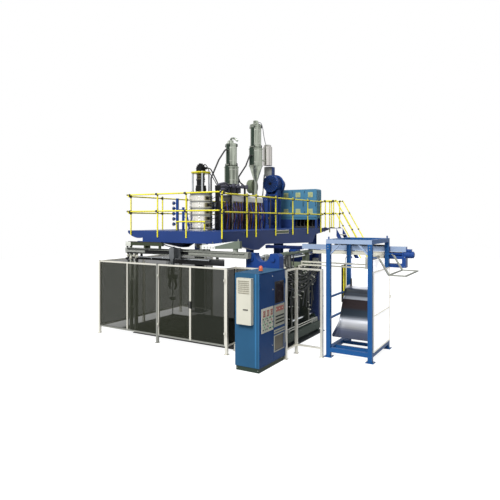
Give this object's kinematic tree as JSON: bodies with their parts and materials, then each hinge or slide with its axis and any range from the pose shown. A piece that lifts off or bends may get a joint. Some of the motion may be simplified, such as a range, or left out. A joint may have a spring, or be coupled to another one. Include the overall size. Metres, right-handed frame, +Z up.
{
  "type": "blow moulding machine",
  "caption": "Extrusion blow moulding machine with an accumulator head on a raised platform, a shuttling clamp, guard fence, control cabinet and take-out station.",
  "frame": {"origin": "middle of the machine's footprint on the floor", "axes": "+Z up, +Y from the front guard fence back along the extruder, +X towards the take-out station"},
  "size_m": [8.365, 9.553, 6.8603],
  "materials": {
    "guard_aluminium": "anodised extrusion",
    "tinted_sheet": "smoke tinted polycarbonate sheet",
    "clear_sheet": "clear polycarbonate sheet",
    "platform_blue": "gloss enamel, deep blue",
    "cabinet_blue": "powder coat, mid blue",
    "safety_yellow": "gloss enamel, yellow",
    "stainless": "brushed stainless steel",
    "plain_steel": "milled steel",
    "ground_steel": "hard chromed and ground",
    "dark_steel": "satin enamel, near black",
    "grey_paint": "satin enamel, light grey",
    "cream_paint": "powder coat, cream",
    "motor_blue": "gloss enamel, royal blue",
    "pale_plastic": "moulded plastic, pale",
    "green_button": "moulded push button, green",
    "red_button": "moulded push button, red",
    "black_plastic": "moulded plastic, black",
    "amber_dome": "moulded dome, orange",
    "hose_rubber": "reinforced hose",
    "floor_steel": "rolled plate, dark paint"
  },
  "bodies": {
    "machine": {"accumulator_head": "plain_steel", "barrel_cover": "stainless", "cabinet_gear": "grey_paint", "clear_panels": "clear_sheet", "control_cabinet": "cabinet_blue", "cooling_manifold": "motor_blue", "cooling_unit": "cream_paint", "die_head": "plain_steel", "drive_motor": "motor_blue", "energy_chain": "black_plastic", "extruder_barrel": "plain_steel", "fence_frame": "guard_aluminium", "fence_panels": "tinted_sheet", "floor_track": "floor_steel", "gantry_beams": "grey_paint", "gearbox": "platform_blue", "guard_rails": "safety_yellow", "head_yoke": "safety_yellow", "heater_bands": "stainless", "hoses": "hose_rubber", "light_curtain": "safety_yellow", "loader_stand": "platform_blue", "material_loaders": "stainless", "parts_chute": "stainless", "platform_columns": "platform_blue", "platform_girders": "platform_blue", "shot_cylinder": "dark_steel", "signal_lamp": "amber_dome", "stair": "platform_blue", "station_frame": "platform_blue", "switch_cabinet": "cabinet_blue", "transfer_axis": "motor_blue", "transfer_guide": "cream_paint", "vacuum_blower": "dark_steel"},
    "clamp": {"clamp_frame": "platform_blue", "tie_rods": "ground_steel", "clamp_cylinders": "dark_steel"},
    "front_platen_body": {"front_platen": "grey_paint"},
    "rear_platen_body": {"rear_platen": "grey_paint"},
    "shot_piston_body": {"shot_piston": "ground_steel"},
    "screw_body": {"extruder_screw": "plain_steel"},
    "left_guard": {"left_guard_door": "guard_aluminium", "left_door_panel": "tinted_sheet"},
    "right_guard": {"right_guard_door": "guard_aluminium", "right_door_panel": "tinted_sheet"},
    "near_door": {"near_cabinet_door": "cabinet_blue", "button_panel": "cream_paint"},
    "far_door": {"far_cabinet_door": "cabinet_blue", "display_panel": "black_plastic", "door_glazing": "black_plastic"},
    "gantry_slide": {"gantry_carriage": "plain_steel"},
    "gripper_body": {"gripper": "plain_steel"},
    "transfer": {"transfer_carriage": "cream_paint"},
    "swing_frame": {"swing_guard": "platform_blue"},
    "lid": {"loader_lid": "stainless"},
    "button_1": {"push_button_1": "green_button"},
    "button_2": {"push_button_2": "black_plastic"},
    "button_3": {"push_button_3": "red_button"},
    "button_4": {"push_button_4": "green_button"},
    "button_5": {"push_button_5": "black_plastic"}
  },
  "joints": [
    {"name": "clamp_shuttle", "type": "slide", "parent": "machine", "child": "clamp", "axis": [-1, 0, 0], "range_m": [0, 2.91]},
    {"name": "front_platen_close", "type": "slide", "parent": "clamp", "child": "front_platen_body", "axis": [0, 1, 0], "range_m": [0, 0.3]},
    {"name": "rear_platen_close", "type": "slide", "parent": "clamp", "child": "rear_platen_body", "axis": [0, -1, 0], "range_m": [0, 0.3]},
    {"name": "shot_piston_stroke", "type": "slide", "parent": "machine", "child": "shot_piston_body", "axis": [0, 0, -1], "range_m": [0, 0.19]},
    {"name": "screw_turn", "type": "hinge", "parent": "machine", "child": "screw_body", "pos_m": [-2.1375, 0.1905, 3.7], "axis": [0, 1, 0], "continuous": true},
    {"name": "left_guard_hinge", "type": "hinge", "parent": "machine", "child": "left_guard", "pos_m": [-1.905, -3.8595, 1], "axis": [0, 0, -1], "range_deg": [0, 110]},
    {"name": "right_guard_hinge", "type": "hinge", "parent": "machine", "child": "right_guard", "pos_m": [0.22, -3.8595, 1], "axis": [0, 0, 1], "range_deg": [0, 110]},
    {"name": "near_door_hinge", "type": "hinge", "parent": "machine", "child": "near_door", "pos_m": [1.6435, -4.63825, 1], "axis": [0, 0, -1], "range_deg": [0, 100]},
    {"name": "far_door_hinge", "type": "hinge", "parent": "machine", "child": "far_door", "pos_m": [1.6435, -3.47075, 1], "axis": [0, 0, 1], "range_deg": [0, 100]},
    {"name": "gantry_travel", "type": "slide", "parent": "machine", "child": "gantry_slide", "axis": [1, 0, 0], "range_m": [-1.5, 1.5]},
    {"name": "gripper_lift", "type": "slide", "parent": "gantry_slide", "child": "gripper_body", "axis": [0, 0, 1], "range_m": [0, 0.4]},
    {"name": "transfer_travel", "type": "slide", "parent": "machine", "child": "transfer", "axis": [-1, 0, 0], "range_m": [0, 0.59]},
    {"name": "swing_guard_hinge", "type": "hinge", "parent": "machine", "child": "swing_frame", "pos_m": [3.5445, -1.971, 2.38], "axis": [0, -1, 0], "range_deg": [0, 75]},
    {"name": "loader_lid_hinge", "type": "hinge", "parent": "machine", "child": "lid", "pos_m": [-2.1375, 1.9105, 6.69], "axis": [-1, 0, 0], "range_deg": [0, 110]},
    {"name": "button_1_press", "type": "slide", "parent": "near_door", "child": "button_1", "axis": [-1, 0, 0], "range_m": [0, 0.004], "stiffness_N_per_m": 300},
    {"name": "button_2_press", "type": "slide", "parent": "near_door", "child": "button_2", "axis": [-1, 0, 0], "range_m": [0, 0.004], "stiffness_N_per_m": 300},
    {"name": "button_3_press", "type": "slide", "parent": "near_door", "child": "button_3", "axis": [-1, 0, 0], "range_m": [0, 0.004], "stiffness_N_per_m": 300},
    {"name": "button_4_press", "type": "slide", "parent": "near_door", "child": "button_4", "axis": [-1, 0, 0], "range_m": [0, 0.004], "stiffness_N_per_m": 300},
    {"name": "button_5_press", "type": "slide", "parent": "near_door", "child": "button_5", "axis": [-1, 0, 0], "range_m": [0, 0.004], "stiffness_N_per_m": 300}
  ],
  "couplings": [
    {"joint": "rear_platen_close", "follows": "front_platen_close", "ratio": 1}
  ]
}
